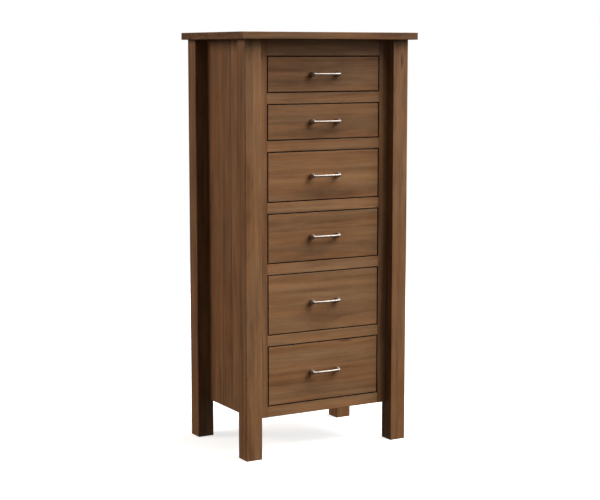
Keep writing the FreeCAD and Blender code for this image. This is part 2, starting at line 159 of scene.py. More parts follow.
class Field:
    """A number that changes over a surface, held as a shader socket that sums can be written with."""

    def __init__(self, finish, socket):
        self.finish = finish
        self.socket = socket

    def math(self, operation, *others):
        """This number and up to two others through one Math node."""
        node = self.finish.node("ShaderNodeMath", {"operation": operation})
        for place, value in enumerate((self,) + others):
            self.finish.feed(node.inputs[place], value)
        return Field(self.finish, node.outputs[0])

    def swapped(self, operation, other):
        """Another number and this one, in that order, through one Math node."""
        node = self.finish.node("ShaderNodeMath", {"operation": operation})
        self.finish.feed(node.inputs[0], other)
        self.finish.feed(node.inputs[1], self)
        return Field(self.finish, node.outputs[0])

    def __add__(self, other):
        return self.math("ADD", other)

    def __radd__(self, other):
        return self.swapped("ADD", other)

    def __sub__(self, other):
        return self.math("SUBTRACT", other)

    def __rsub__(self, other):
        return self.swapped("SUBTRACT", other)

    def __mul__(self, other):
        return self.math("MULTIPLY", other)

    def __rmul__(self, other):
        return self.swapped("MULTIPLY", other)

    def __truediv__(self, other):
        return self.math("DIVIDE", other)

    def __pow__(self, other):
        return self.math("POWER", other)

    def floor(self):
        """The whole number below."""
        return self.math("FLOOR")

    def size(self):
        """The number without its sign."""
        return self.math("ABSOLUTE")

    def least(self, other):
        """The smaller of this and another."""
        return self.math("MINIMUM", other)

    def most(self, other):
        """The larger of this and another."""
        return self.math("MAXIMUM", other)

    def ramp(self, low, high):
        """A smooth step from 0 at low to 1 at high; low may be the larger."""
        node = self.finish.node("ShaderNodeMapRange", {"interpolation_type": "SMOOTHSTEP"},
                                {"From Min": low, "From Max": high})
        self.finish.feed(node.inputs["Value"], self)
        return Field(self.finish, node.outputs["Result"])


class Finish:
    """A material under construction: its node tree, its shader and the ways to add to them."""

    def __init__(self, name):
        self.material = bpy.data.materials.new(name)
        self.material.use_nodes = True
        self.tree = self.material.node_tree
        self.shader = self.tree.nodes["Principled BSDF"]

    def node(self, kind, settings=None, values=None):
        """Adds a node, sets it up, then gives its sockets their values or links."""
        node = self.tree.nodes.new(kind)
        for name, value in (settings or {}).items():
            setattr(node, name, value)
        for name, value in (values or {}).items():
            self.feed(node.inputs[name], value)
        return node

    def feed(self, socket, value):
        """Links a field or a socket, or sets a plain value."""
        if isinstance(value, Field):
            value = value.socket
        if isinstance(value, bpy.types.NodeSocket):
            self.tree.links.new(value, socket)
        else:
            socket.default_value = value

    def place(self):
        """The point on the piece, as a vector socket."""
        return self.node("ShaderNodeTexCoord").outputs["Object"]

    def parts(self, vector):
        """The three parts of a vector, as fields."""
        node = self.node("ShaderNodeSeparateXYZ", None, {"Vector": vector})
        return [Field(self, socket) for socket in node.outputs]

    def joined(self, x, y, z):
        """A vector socket from three fields or numbers."""
        return self.node("ShaderNodeCombineXYZ", None, {"X": x, "Y": y, "Z": z}).outputs["Vector"]

    def noise(self, vector, scale, detail=2.0, roughness=0.5, distortion=0.0):
        """Soft noise about 0.5 over a vector."""
        node = self.node("ShaderNodeTexNoise", None, {
            "Vector": vector, "Scale": scale, "Detail": detail,
            "Roughness": roughness, "Distortion": distortion})
        return Field(self, node.outputs["Fac"])

    def line_noise(self, along, scale, detail=2.0, roughness=0.5):
        """Soft noise about 0.5 along one number."""
        node = self.node("ShaderNodeTexNoise", {"noise_dimensions": "1D"}, {
            "W": along, "Scale": scale, "Detail": detail, "Roughness": roughness})
        return Field(self, node.outputs["Fac"])

    def chance(self, number):
        """A random number between 0 and 1 for each whole number."""
        node = self.node("ShaderNodeTexWhiteNoise", {"noise_dimensions": "1D"}, {"W": number})
        return Field(self, node.outputs["Value"])

    def blend(self, amount, first, second, method="MIX"):
        """Two colours mixed by an amount."""
        node = self.node("ShaderNodeMix", {"data_type": "RGBA", "blend_type": method})
        for place, value in ((0, amount), (6, first), (7, second)):
            self.feed(node.inputs[place], value)
        return node.outputs[2]

    def bands(self, amount, stops):
        """A colour ramp from a list of (place, colour)."""
        node = self.node("ShaderNodeValToRGB", None, {"Fac": amount})
        elements = node.color_ramp.elements
        while len(elements) < len(stops):
            elements.new(0.5)
        for element, (place, colour) in zip(elements, stops):
            element.position = place
            element.color = colour
        return node.outputs["Color"]

    def bump(self, height, strength, distance):
        """Raises the surface by a field and feeds the shader's normal."""
        node = self.node("ShaderNodeBump", None, {
            "Height": height, "Strength": strength, "Distance": distance})
        self.feed(self.shader.inputs["Normal"], node.outputs["Normal"])

    def surface(self, **values):
        """Gives the shader's sockets their values, by name with underscores for spaces."""
        for name, value in values.items():
            self.feed(self.shader.inputs[name.replace("_", " ")], value)


def opaque(colour, level=1.0):
    """A colour with its brightness scaled and full alpha."""
    return (colour[0] * level, colour[1] * level, colour[2] * level, 1.0)


def wood(name, lay, box, seed, stave, dials, cast=0.0, gap_shade_from=None):
    """Solid wood whose figure runs through the board, so that its end grain shows on the cut ends.

    lay is the grain axis and the axis across the staves, box the board's corners, stave the width
    of one stave, and dials the settings of the finish. cast makes a whole board lighter or darker;
    it is partly the board's own tone and partly painted light and shade. The last argument is how far
    behind the board's face the gaps start to be painted dark, as painted shade.
    """
    finish = Finish(name)
    axes = dict(zip("XYZ", finish.parts(finish.place())))
    along = axes[lay[0]]
    across = axes[lay[1]]
    depth = axes[next(axis for axis in "XYZ" if axis not in lay)]

    # Each stave has its own tone and its own place in the tree.
    edge = box[0]["XYZ".index(lay[1])]
    stave_number = ((across - edge) / stave).floor() + seed * 7.0
    lot = finish.chance(stave_number)
    shift = lot * 9.0 + seed * 1.7

    # Small knots in about a third of the cells, each with a dark heart, that the rings swell round.
    knot_place = finish.joined(along * KNOTS[0] + shift, across * KNOTS[1], depth * KNOTS[2])
    knot_node = finish.node("ShaderNodeTexVoronoi", None, {"Vector": knot_place, "Scale": 1.0})
    knot_gap = Field(finish, knot_node.outputs["Distance"])
    knot_lot = finish.parts(knot_node.outputs["Color"])[0].ramp(0.6, 0.66)
    knot = knot_gap.ramp(0.13, 0.03) * knot_lot
    swell = knot_gap.ramp(0.5, 0.0) * knot_lot

    # Rings about a pith that lies off the board and wanders along the grain.
    wander_place = finish.joined(along * WANDER[0] + shift, across * WANDER[1], depth * WANDER[2])
    wander = finish.noise(wander_place, 1.0, 3.0)
    sway = (wander - 0.5) * dials.sway + swell * dials.swell
    reach_across = across - edge - (lot - 0.3) * PITH_SPREAD + sway
    reach_deep = depth + PITH_DEPTH + sway * 0.6
    ring = (reach_across * reach_across + reach_deep * reach_deep) ** 0.5
    figure = finish.line_noise(ring + shift, dials.rings, 4.0, 0.66)

    # Streaks as long as a hand, cloudy stain and fine fibre.
    streak_place = finish.joined(along * STREAKS[0] + shift, across * STREAKS[1], depth * STREAKS[2])
    streak = finish.noise(streak_place, 1.0, 4.0, 0.6, 0.3)
    cloud_place = finish.joined(along * CLOUDS[0], across * CLOUDS[1] + shift, depth * CLOUDS[2])
    cloud = finish.noise(cloud_place, 1.0, 3.0, 0.6)
    fibre_place = finish.joined(along * FIBRES[0], across * FIBRES[1], depth * FIBRES[2])
    fibre = finish.noise(fibre_place, 1.0, 4.0, 0.7)
    pore_place = finish.joined(along * PORES[0] + shift, across * PORES[1], depth * PORES[2])
    pore = finish.noise(pore_place, 1.0, 1.0, 0.4).ramp(0.64, 0.78)

    # cast adds the board's own tone, and for the right stile and the drawer fronts also painted light and
    # shade.
    tone = (0.5 + cast + (figure - 0.5) * dials.figure + (streak - 0.5) * dials.streaks
            + (cloud - 0.5) * dials.cloud + (fibre - 0.5) * dials.fibre
            + (lot - 0.5) * dials.staves)
    colour = finish.bands(tone, [(0.05, opaque(dials.dark)), (0.5, opaque(dials.middle)),
                                 (0.95, opaque(dials.light))])
    flush_place = finish.joined(along * FLUSHES[0], across * FLUSHES[1] - shift, depth * FLUSHES[2])
    flush = finish.noise(flush_place, 1.0, 2.0, 0.5).ramp(0.38, 0.62)
    colour = finish.blend(flush * dials.warmth, colour, WARM_PATCH, "MULTIPLY")
    colour = finish.blend(pore * dials.pores, colour, opaque(dials.dark, 0.45))
    colour = finish.blend(knot * dials.knots, colour, opaque(dials.dark, 0.5))

    # Edges handled and dusted for years are a little smoother and paler.
    rub = finish.noise(finish.place(), RUBS, 3.0, 0.6).ramp(0.42, 0.68)
    wear = near_edges(axes, box, dials.edge_reach) * rub * dials.wear
    colour = finish.blend(wear, colour, opaque(dials.light, 1.2))
    # Painted shade: the faces a few millimetres behind the board's face, inside the gaps round the
    # drawers, and the board's edges are darkened toward black in place of the shade that falls in the
    # gaps.
    if gap_shade_from:
        start = box[0].y + gap_shade_from
        gap_shade = depth.ramp(start, start + GAP_SHADE_BLEND)
        gap_shade = gap_shade * depth.ramp(start + GAP_SHADE_FADED, start + GAP_SHADE_DEPTH)
        gap_shade = gap_shade.most(near_edges(axes, box, GAP_SHADE_SEAM))
        colour = finish.blend(gap_shade * GAP_SHADE_DARKNESS, colour, GAP_SHADE_BLACK)

    roughness = dials.roughness + (fibre - 0.5) * 0.14 + pore * 0.1 - wear * 0.12
    finish.surface(Base_Color=colour, Roughness=roughness, Specular_IOR_Level=dials.gloss)
    relief = fibre * 0.35 + figure * 0.25 - pore * 0.8 - knot * 0.3
    finish.bump(relief, dials.relief, 0.0005)
    return finish.material


def near_edges(axes, box, reach):
    """1 along the edges of a box and 0 a short way in: two of the three faces are near."""
    gaps = []
    for index, axis in enumerate("XYZ"):
        middle = (box[0][index] + box[1][index]) / 2
        half = (box[1][index] - box[0][index]) / 2
        gaps.append(half - (axes[axis] - middle).size())
    nearest = gaps[0].least(gaps[1]).least(gaps[2])
    farthest = gaps[0].most(gaps[1]).most(gaps[2])
    second = gaps[0] + gaps[1] + gaps[2] - nearest - farthest
    return second.ramp(reach, 0.0)


def brushed_metal(name, colour, roughness, brush_axis, marks):
    """Plated or brushed metal with fine lines along one axis and soft handling marks."""
    finish = Finish(name)
    parts = zip("XYZ", finish.parts(finish.place()))
    line_place = finish.joined(*[part * (18.0 if axis == brush_axis else 900.0) for axis, part in parts])
    lines = finish.noise(line_place, 1.0, 2.0, 0.6)
    smudge = finish.noise(finish.place(), 55.0, 3.0, 0.6)
    shade = 0.5 + (lines - 0.5) * 0.5 + (smudge - 0.5) * marks
    base = finish.bands(shade, [(0.2, opaque(colour, 0.72)), (0.5, opaque(colour)),
                                (0.8, opaque(colour, 1.16))])
    finish.surface(Base_Color=base, Metallic=1.0,
                   Roughness=roughness + (lines - 0.5) * 0.16 + (smudge - 0.5) * 0.2)
    finish.bump(lines, 0.12, 0.0002)
    return finish.material


def set_finish(node, material):
    """Puts a material in every slot of a node of the frame."""
    for slot in frame["nodes"][node].material_slots:
        slot.material = material


# Settings that a user would change.

def share(name, description, default):
    """A plain number setting."""
    return FloatProperty(name=name, description=description, default=default)


def length(name, description, default):
    """A length setting, in metres."""
    return FloatProperty(name=name, description=description, default=default, min=0.0, precision=5,
                         subtype="DISTANCE", unit="LENGTH")


def tint(name, description, default):
    """A colour setting."""
    return FloatVectorProperty(name=name, description=description, default=default, size=3,
                               min=0.0, max=1.0, subtype="COLOR")


class WoodDials:
    """What every wood finish can be told."""

    dark: tint("Dark tone", "Colour of the darkest streaks", (0.107, 0.049, 0.020))
    middle: tint("Middle tone", "Colour of most of the wood", (0.230, 0.116, 0.051))
    light: tint("Light tone", "Colour of the palest bands", (0.330, 0.180, 0.085))
    roughness: share("Roughness", "How matt the lacquer is", 0.5)
    gloss: share("Gloss", "How strongly the lacquer mirrors", 0.2)
    rings: share("Rings", "Growth rings in a metre", 60.0)
    sway: length("Sway", "How far the rings wander along the grain", 0.05)
    swell: length("Swell", "How far the rings swell round a knot", 0.012)
    figure: share("Figure", "How strongly the rings show", 0.95)
    streaks: share("Streaks", "How strongly the dark streaks show", 1.0)
    cloud: share("Cloud", "How uneven the stain is", 0.5)
    fibre: share("Fibre", "How strongly the fine fibres show", 0.35)
    staves: share("Staves", "How much the glued staves differ", 0.22)
    warmth: share("Warmth", "How red the warmer patches are", 0.65)
    pores: share("Pores", "How dark the open pores are", 0.5)
    knots: share("Knots", "How dark the knots are", 0.7)
    wear: share("Wear", "How much the edges have paled", 0.15)
    edge_reach: length("Edge reach", "How far in the wear of an edge goes", 0.0022)
    relief: share("Relief", "How deep the grain feels", 0.35)


class CHEST_PG_walnut(WoodDials, bpy.types.PropertyGroup):
    """Stained walnut of the case and the drawer fronts."""


class CHEST_PG_maple(WoodDials, bpy.types.PropertyGroup):
    """Clear lacquered maple of the drawer boxes."""

    dark: tint("Dark tone", "Colour of the darkest streaks", (0.42, 0.27, 0.15))
    middle: tint("Middle tone", "Colour of most of the wood", (0.58, 0.41, 0.25))
    light: tint("Light tone", "Colour of the palest bands", (0.70, 0.53, 0.36))
    rings: share("Rings", "Growth rings in a metre", 80.0)
    figure: share("Figure", "How strongly the rings show", 0.55)
    streaks: share("Streaks", "How strongly the dark streaks show", 0.5)
    warmth: share("Warmth", "How red the warmer patches are", 0.3)
    pores: share("Pores", "How dark the open pores are", 0.12)
    knots: share("Knots", "How dark the knots are", 0.0)
    wear: share("Wear", "How much the edges have paled", 0.2)
    relief: share("Relief", "How deep the grain feels", 0.2)


class CHEST_PG_pull(bpy.types.PropertyGroup):
    """A bowed bar pull on two round feet."""

    centres: length("Centres", "Distance between the two screws", 0.096)
    projection: length("Projection", "How far the bar stands out", 0.028)
    bow: length("Bow", "How far the bar curves outwards between its feet", 0.004)
    bar_radius: length("Bar radius", "Half the thickness of the bar", 0.004)
    base_radius: length("Base radius", "Radius of a foot where it meets the drawer", 0.0080)
    rim_thickness: length("Rim thickness", "Thickness of the rim round a foot", 0.0010)
    shoulder_reach: length("Shoulder reach", "From the drawer to the shoulder of a foot", 0.0170)
    shoulder_radius: length("Shoulder radius", "Radius of a foot at its shoulder", 0.0065)
    foot_length: length("Foot length", "From the drawer to the tip of a foot", 0.0250)
    skin: length("Skin", "Size of the facets of the cast surface", 0.0005)


class CHEST_PG_screw(bpy.types.PropertyGroup):
    """The pan head screws that hold a pull, seen from inside the drawer."""

    shank_radius: length("Shank radius", "Radius of the shank", 0.002)
    head_radius: length("Head radius", "Radius of the head", 0.004)
    head_height: length("Head height", "How far the head stands out", 0.0025)
    recess_reach: length("Recess reach", "From the middle of the cross to the end of an arm", 0.0022)
    recess_depth: length("Recess depth", "How deep the cross is", 0.0013)


class CHEST_PG_cage(bpy.types.PropertyGroup):
    """Ball cages of the runners. Places are measured from the strip that a runner is screwed to."""

    ball_radius: length("Ball radius", "Radius of one ball", 0.0016)
    ball_pitch: length("Ball pitch", "Distance from ball to ball", 0.009)
    balls: IntProperty(name="Balls", description="Balls in one row of a cage", default=12, min=2)
    sheet: length("Sheet", "Thickness of a cage's wall", 0.0004)
    end_margin: length("End margin", "From the end of a cage to its first ball", 0.006)
    outer_wall: length("Outer wall", "Place of the outer cage's wall", 0.0025)
    outer_reach: length("Outer reach", "Place of the outer cage's free edges", 0.009)
    outer_rise: length("Outer rise", "From the runner's middle to the outer balls", 0.01965)
    inner_wall: length("Inner wall", "Place of the inner cage's wall", 0.0045)
    inner_reach: length("Inner reach", "Place of the inner cage's free edges", 0.0105)
    inner_rise: length("Inner rise", "From the runner's middle to the inner balls", 0.01515)
    end_space: length("End space", "From a cage to the end of the middle member", 0.012)


class CHEST_PG_stage(bpy.types.PropertyGroup):
    """Camera, lights and floor."""

    azimuth: share("Azimuth", "Degrees that the camera stands round to the left", 29.54)
    elevation: share("Elevation", "Degrees that the camera looks down", 7.63)
    distance: length("Distance", "From the camera to the point it looks at", 5.004)
    aim_height: length("Aim height", "Height of the point that the camera looks at", 0.645)
    aim_side: share("Aim side", "How far right of the middle the camera looks, in metres", 0.0089)
    lens: share("Lens", "Focal length in millimetres", 88.75)
    key: share("Key light", "Power of the soft light at the front right, in watts", 820.0)
    top: share("Top light", "Power of the soft light high on the right, in watts", 1700.0)
    fill: share("Fill light", "Power of the soft light behind on the left, in watts", 460.0)
    fill_tint: tint("Fill tint", "Colour of the light behind on the left", (1.0, 0.84, 0.70))
    light_distance: length("Light distance", "From each soft box to the chest", 10.0)
    key_size: length("Key size", "Width of the soft box at the front right", 8.0)
    top_size: length("Top size", "Width of the soft box high on the right", 9.5)
    fill_size: length("Fill size", "Width of the soft box behind on the left", 4.5)
    ambient: share("Ambient", "Light from all round", 0.12)
    floor: tint("Floor", "Colour of the floor", (0.85, 0.85, 0.84))
    floor_glow: share("Floor glow", "Brightness that the floor sheet adds for the camera", 0.72)
    floor_radius: length("Floor radius", "Where the floor has faded into the backdrop", 4.5)


class CHEST_PG_settings(bpy.types.PropertyGroup):
    """All the settings of the chest."""

    walnut: PointerProperty(type=CHEST_PG_walnut)
    maple: PointerProperty(type=CHEST_PG_maple)
    pull: PointerProperty(type=CHEST_PG_pull)
    screw: PointerProperty(type=CHEST_PG_screw)
    cage: PointerProperty(type=CHEST_PG_cage)
    stage: PointerProperty(type=CHEST_PG_stage)


# Modelling by hand: small steps that the operators share.

def only(piece):
    """Leaves just one piece selected and active."""
    for other in bpy.context.view_layer.objects:
        other.select_set(other == piece)
    bpy.context.view_layer.objects.active = piece


def clear():
    """Leaves nothing selected."""
    for other in bpy.context.view_layer.objects:
        other.select_set(False)


def settled(piece, name):
    """Names a piece and moves its place into its mesh."""
    only(piece)
    bpy.ops.object.transform_apply(location=True, rotation=True, scale=True)
    piece.name = name
    piece.data.name = name
    return piece


def copied(piece, name, matrix):
    """A copy with its own mesh, carried to its place."""
    twin = bpy.data.objects.new(name, piece.data.copy())
    twin.data.name = name
    twin.data.transform(matrix)
    bpy.context.scene.collection.objects.link(twin)
    return twin


def removed(piece):
    """Takes a pattern piece away once its copies are made."""
    bpy.data.objects.remove(piece, do_unlink=True)


def pick(piece, kind, passes):
    """Goes into edit mode with just the edges or faces selected that pass a test."""
    only(piece)
    bpy.ops.object.mode_set(mode="EDIT")
    bpy.ops.mesh.select_mode(type=kind)
    bpy.ops.mesh.select_all(action="DESELECT")
    bpy.ops.object.mode_set(mode="OBJECT")
    mesh = piece.data
    for element in mesh.edges if kind == "EDGE" else mesh.polygons:
        element.select = passes([mesh.vertices[index].co for index in element.vertices])
    bpy.ops.object.mode_set(mode="EDIT")


def applied(piece, kind, **settings):
    """Adds a modifier to a piece and applies it."""
    only(piece)
    modifier = piece.modifiers.new(kind.lower(), kind)
    for name, value in settings.items():
        setattr(modifier, name, value)
    bpy.ops.object.modifier_apply(modifier=modifier.name)


def turned(centre, direction, profile, sides=40):
    """A round piece: a disc pushed along a direction through a list of (distance, radius)."""
    axis = Vector(direction)
    clear()
    first_distance, first_radius = profile[0]
    start = Vector(centre) + axis * first_distance
    bpy.ops.mesh.primitive_circle_add(vertices=sides, radius=first_radius, fill_type="NGON",
                                      location=start, rotation=axis.to_track_quat("Z", "Y").to_euler())
    piece = bpy.context.object
    bpy.ops.object.mode_set(mode="EDIT")
    previous, width = first_distance, first_radius
    for distance, radius in profile[1:]:
        step = axis * (distance - previous)
        bpy.ops.mesh.extrude_region_move(TRANSFORM_OT_translate={"value": step})
        factor = radius / width
        bpy.ops.transform.resize(value=(factor,) * 3, center_override=Vector(centre) + axis * distance)
        previous, width = distance, radius
    bpy.ops.mesh.select_all(action="SELECT")
    bpy.ops.mesh.normals_make_consistent(inside=False)
    bpy.ops.object.mode_set(mode="OBJECT")
    return piece


def joined_pieces(pieces):
    """Several pieces made one."""
    clear()
    for piece in pieces:
        piece.select_set(True)
    bpy.context.view_layer.objects.active = pieces[0]
    bpy.ops.object.join()
    return pieces[0]


def finished(piece, material, body):
    """Gives a new piece its material and the body it rides on."""
    piece.data.materials.clear()
    piece.data.materials.append(material)
    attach(piece, body)


# Finishes of the pieces that come from the design.

class CHEST_OT_finish_case(bpy.types.Operator):
    """Stain every board of the case."""

    bl_idname = "chest.finish_case"
    bl_label = "Stain the case"

    def execute(self, context):
        dials = context.scene.chest.walnut
        for seed, (node, grain, across, stave, cast, framing) in enumerate(CASE_BOARDS):
            # Boards that frame the drawers get the painted shade of the gaps.
            gap_shade_from = FRAME_GAP_SHADE if framing else None
            material = wood("walnut_" + node, (grain, across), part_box(node), seed + CASE_SEED, stave,
                            dials, cast, gap_shade_from)
            set_finish(node, material)
        return {"FINISHED"}


class CHEST_OT_finish_fronts(bpy.types.Operator):
    """Stain the six drawer fronts, each cut from its own board."""

    bl_idname = "chest.finish_fronts"
    bl_label = "Stain the drawer fronts"

    def execute(self, context):
        dials = context.scene.chest.walnut
        # Each front's cast is partly its own tone and partly painted light: the lower fronts are lighter.
        for number, cast in zip(DRAWERS, FRONT_TONE_AND_LIGHT):
            node = f"drawer_{number}_front"
            # Each front also gets the painted shade of the gaps round it.
            material = wood("walnut_" + node, ("X", "Z"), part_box(node), FRONT_SEED + number,
                            FRONT_STAVE, dials, cast, FRONT_GAP_SHADE)
            set_finish(node, material)
        return {"FINISHED"}


class CHEST_OT_finish_boxes(bpy.types.Operator):
    """Finish the drawer boxes and the strips inside the case in pale wood."""

    bl_idname = "chest.finish_boxes"
    bl_label = "Finish the drawer boxes"

    def execute(self, context):
        dials = context.scene.chest.maple
        rows = [("slide_battens", ("Y", "Z")), ("top_cleats", ("Y", "X"))]
        for number in DRAWERS:
            stem = f"drawer_{number}_"
            rows += [(stem + "sides", ("Y", "Z")), (stem + "back", ("X", "Z")),
                     (stem + "bottom", ("X", "Y"))]
        for seed, (node, lay) in enumerate(rows):
            material = wood("maple_" + node, lay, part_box(node), BOX_SEED + seed, WHOLE_BOARD, dials)
            set_finish(node, material)
        return {"FINISHED"}


class CHEST_OT_finish_runners(bpy.types.Operator):
    """Plate the runners and the screws with zinc."""

    bl_idname = "chest.finish_runners"
    bl_label = "Plate the runners"

    def execute(self, context):
        zinc = brushed_metal("zinc_plate", ZINC, 0.34, "Y", 0.5)
        screws = brushed_metal("zinc_screws", SCREW_ZINC, 0.3, "X", 0.6)
        set_finish("outer_slides", zinc)
        set_finish("case_screws", screws)
        for number in DRAWERS:
            set_finish(f"drawer_{number}_slide_members", zinc)
            set_finish(f"drawer_{number}_middle_members", zinc)
        return {"FINISHED"}


class CHEST_OT_build_pulls(bpy.types.Operator):
    """Cast the six pulls, each a bowed bar on two round feet."""

    bl_idname = "chest.build_pulls"
    bl_label = "Build the pulls"

    def execute(self, context):
        design = context.scene.chest.pull
        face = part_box("drawer_1_front")[0].y
        nickel = brushed_metal("brushed_nickel", NICKEL, 0.46, "X", 0.5)
        pattern = self.cast(design, face)
        for number in DRAWERS:
            low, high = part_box(f"drawer_{number}_front")
            level = (low.z + high.z) / 2
            pull = copied(pattern, f"drawer_{number}_pull", Matrix.Translation((0, 0, level)))
            finished(pull, nickel, f"drawer_{number}")
            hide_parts(f"drawer_{number}_handle")
        removed(pattern)
        return {"FINISHED"}

    def cast(self, design, face):
        """One pull at height zero, blended into a single skin."""
        half = design.centres / 2
        middle_y = face - design.projection + design.bar_radius
        bow_radius = (half ** 2 + design.bow ** 2) / (2 * design.bow)
        centre = Vector((0, middle_y + bow_radius, 0))
        parts = [self.foot(design, side * half, face) for side in SIDES]
        parts.append(self.bar(design, centre, bow_radius, math.asin(half / bow_radius)))
        pull = joined_pieces(parts)
        applied(pull, "REMESH", mode="VOXEL", voxel_size=design.skin)
        applied(pull, "SMOOTH", factor=0.5, iterations=6)
        only(pull)
        bpy.ops.object.shade_smooth()
        return settled(pull, "pull_pattern")

    def foot(self, design, x, face):
        """A foot turned with a thin rim on the drawer and a dome that the bar enters."""
        rim = Vector((design.rim_thickness, design.base_radius))
        shoulder = Vector((design.shoulder_reach, design.shoulder_radius))
        tip = Vector((design.foot_length, 0.0))

        # The dome is an arc of a circle through the rim, the shoulder and the tip. Its centre lies
        # where the line square to the first chord meets the line square to the second.
        first_chord, second_chord = shoulder - rim, tip - shoulder
        first_middle, second_middle = (rim + shoulder) / 2, (shoulder + tip) / 2
        square = Vector((-first_chord.y, first_chord.x))
        centre = first_middle + square * ((second_middle - first_middle).dot(second_chord)
                                          / square.dot(second_chord))
        radius = (rim - centre).length
        first, last = (math.atan2(end.y - centre.y, end.x - centre.x) for end in (rim, tip))
        steps = 14
        turns = [first + (last - first) * step / steps for step in range(steps + 1)]
        profile = [(0.0, rim.y * 0.95), (rim.x * 0.35, rim.y)]
        profile += [(centre.x + radius * math.cos(turn),
                     max(POINT_RADIUS, centre.y + radius * math.sin(turn))) for turn in turns]
        return turned((x, face, 0), (0, -1, 0), profile)

    def bar(self, design, centre, bow_radius, half_angle):
        """A round bar spun about the centre of its bow."""
        start = centre + Vector((-math.sin(half_angle), -math.cos(half_angle), 0)) * bow_radius
        along = Vector((math.cos(half_angle), -math.sin(half_angle), 0))
        clear()
        tilt = along.to_track_quat("Z", "Y").to_euler()
        bpy.ops.mesh.primitive_circle_add(vertices=32, radius=design.bar_radius, fill_type="NGON",
                                          location=start, rotation=tilt)
        bar = bpy.context.object
        bpy.ops.object.transform_apply(location=True, rotation=True, scale=True)
        bpy.ops.object.mode_set(mode="EDIT")
        bpy.ops.mesh.spin(steps=48, angle=-2 * half_angle, center=centre, axis=(0, 0, 1))
        bpy.ops.mesh.select_all(action="SELECT")
        bpy.ops.mesh.normals_make_consistent(inside=False)
        bpy.ops.object.mode_set(mode="OBJECT")
        return bar


class CHEST_OT_build_screws(bpy.types.Operator):
    """Turn the screws that hold the pulls, two in each drawer."""

    bl_idname = "chest.build_screws"
    bl_label = "Build the pull screws"

    def execute(self, context):
        chest = context.scene.chest
        half = chest.pull.centres / 2
        front, back = (corner.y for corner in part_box("drawer_1_front"))
        pattern = self.screw(chest.screw, back, back - front)
        pair = joined_pieces([copied(pattern, "screw", Matrix.Translation((side * half, 0, 0)))
                              for side in SIDES])
        zinc = brushed_metal("pull_screw_zinc", SCREW_ZINC, 0.3, "Z", 0.6)
        for number in DRAWERS:
            low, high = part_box(f"drawer_{number}_front")
            level = Matrix.Translation((0, 0, (low.z + high.z) / 2))
            screws = copied(pair, f"drawer_{number}_pull_screws", level)
            finished(screws, zinc, f"drawer_{number}")
        removed(pattern)
        removed(pair)
        return {"FINISHED"}

    def screw(self, design, back, grip):
        """One screw: a shank through the front and a domed head with a cross in it."""
        head, height = design.head_radius, design.head_height
        shank = [(-grip, design.shank_radius * 0.8), (POINT_BREAK - grip, design.shank_radius),
                 (0.0, design.shank_radius)]
        dome = [(0.0, head * 0.97), (height * 0.12, head), (height * 0.45, head),
                (height * 0.72, head * 0.9), (height * 0.9, head * 0.72), (height, head * 0.45)]
        piece = turned((0, back, 0), (0, 1, 0), shank + dome, 32)
        cutter = self.cross(design, back + height)
        applied(piece, "BOOLEAN", operation="DIFFERENCE", object=cutter, solver="EXACT")
        removed(cutter)
        only(piece)
        bpy.ops.object.shade_smooth_by_angle(angle=math.radians(35))
        return settled(piece, "screw_pattern")

    def cross(self, design, top):
        """The tip of a driver: the middle and the arms of a plate of nine squares, drawn out."""
        clear()
        bpy.ops.mesh.primitive_grid_add(x_subdivisions=3, y_subdivisions=3, size=2 * design.recess_reach,
                                        location=(0, top - design.recess_depth, 0),
                                        rotation=(math.pi / 2, 0, 0))
        cutter = bpy.context.object
        arm = design.recess_reach / 3
        pick(cutter, "FACE", lambda corners: all(min(abs(co.x), abs(co.y)) > 0.9 * arm for co in corners))
        bpy.ops.mesh.delete(type="FACE")
        bpy.ops.mesh.select_all(action="SELECT")
        draw = (0, 2 * design.recess_depth, 0)
        bpy.ops.mesh.extrude_region_move(TRANSFORM_OT_translate={"value": draw})
        bpy.ops.mesh.select_all(action="SELECT")
        bpy.ops.mesh.normals_make_consistent(inside=False)
        bpy.ops.object.mode_set(mode="OBJECT")
        return cutter


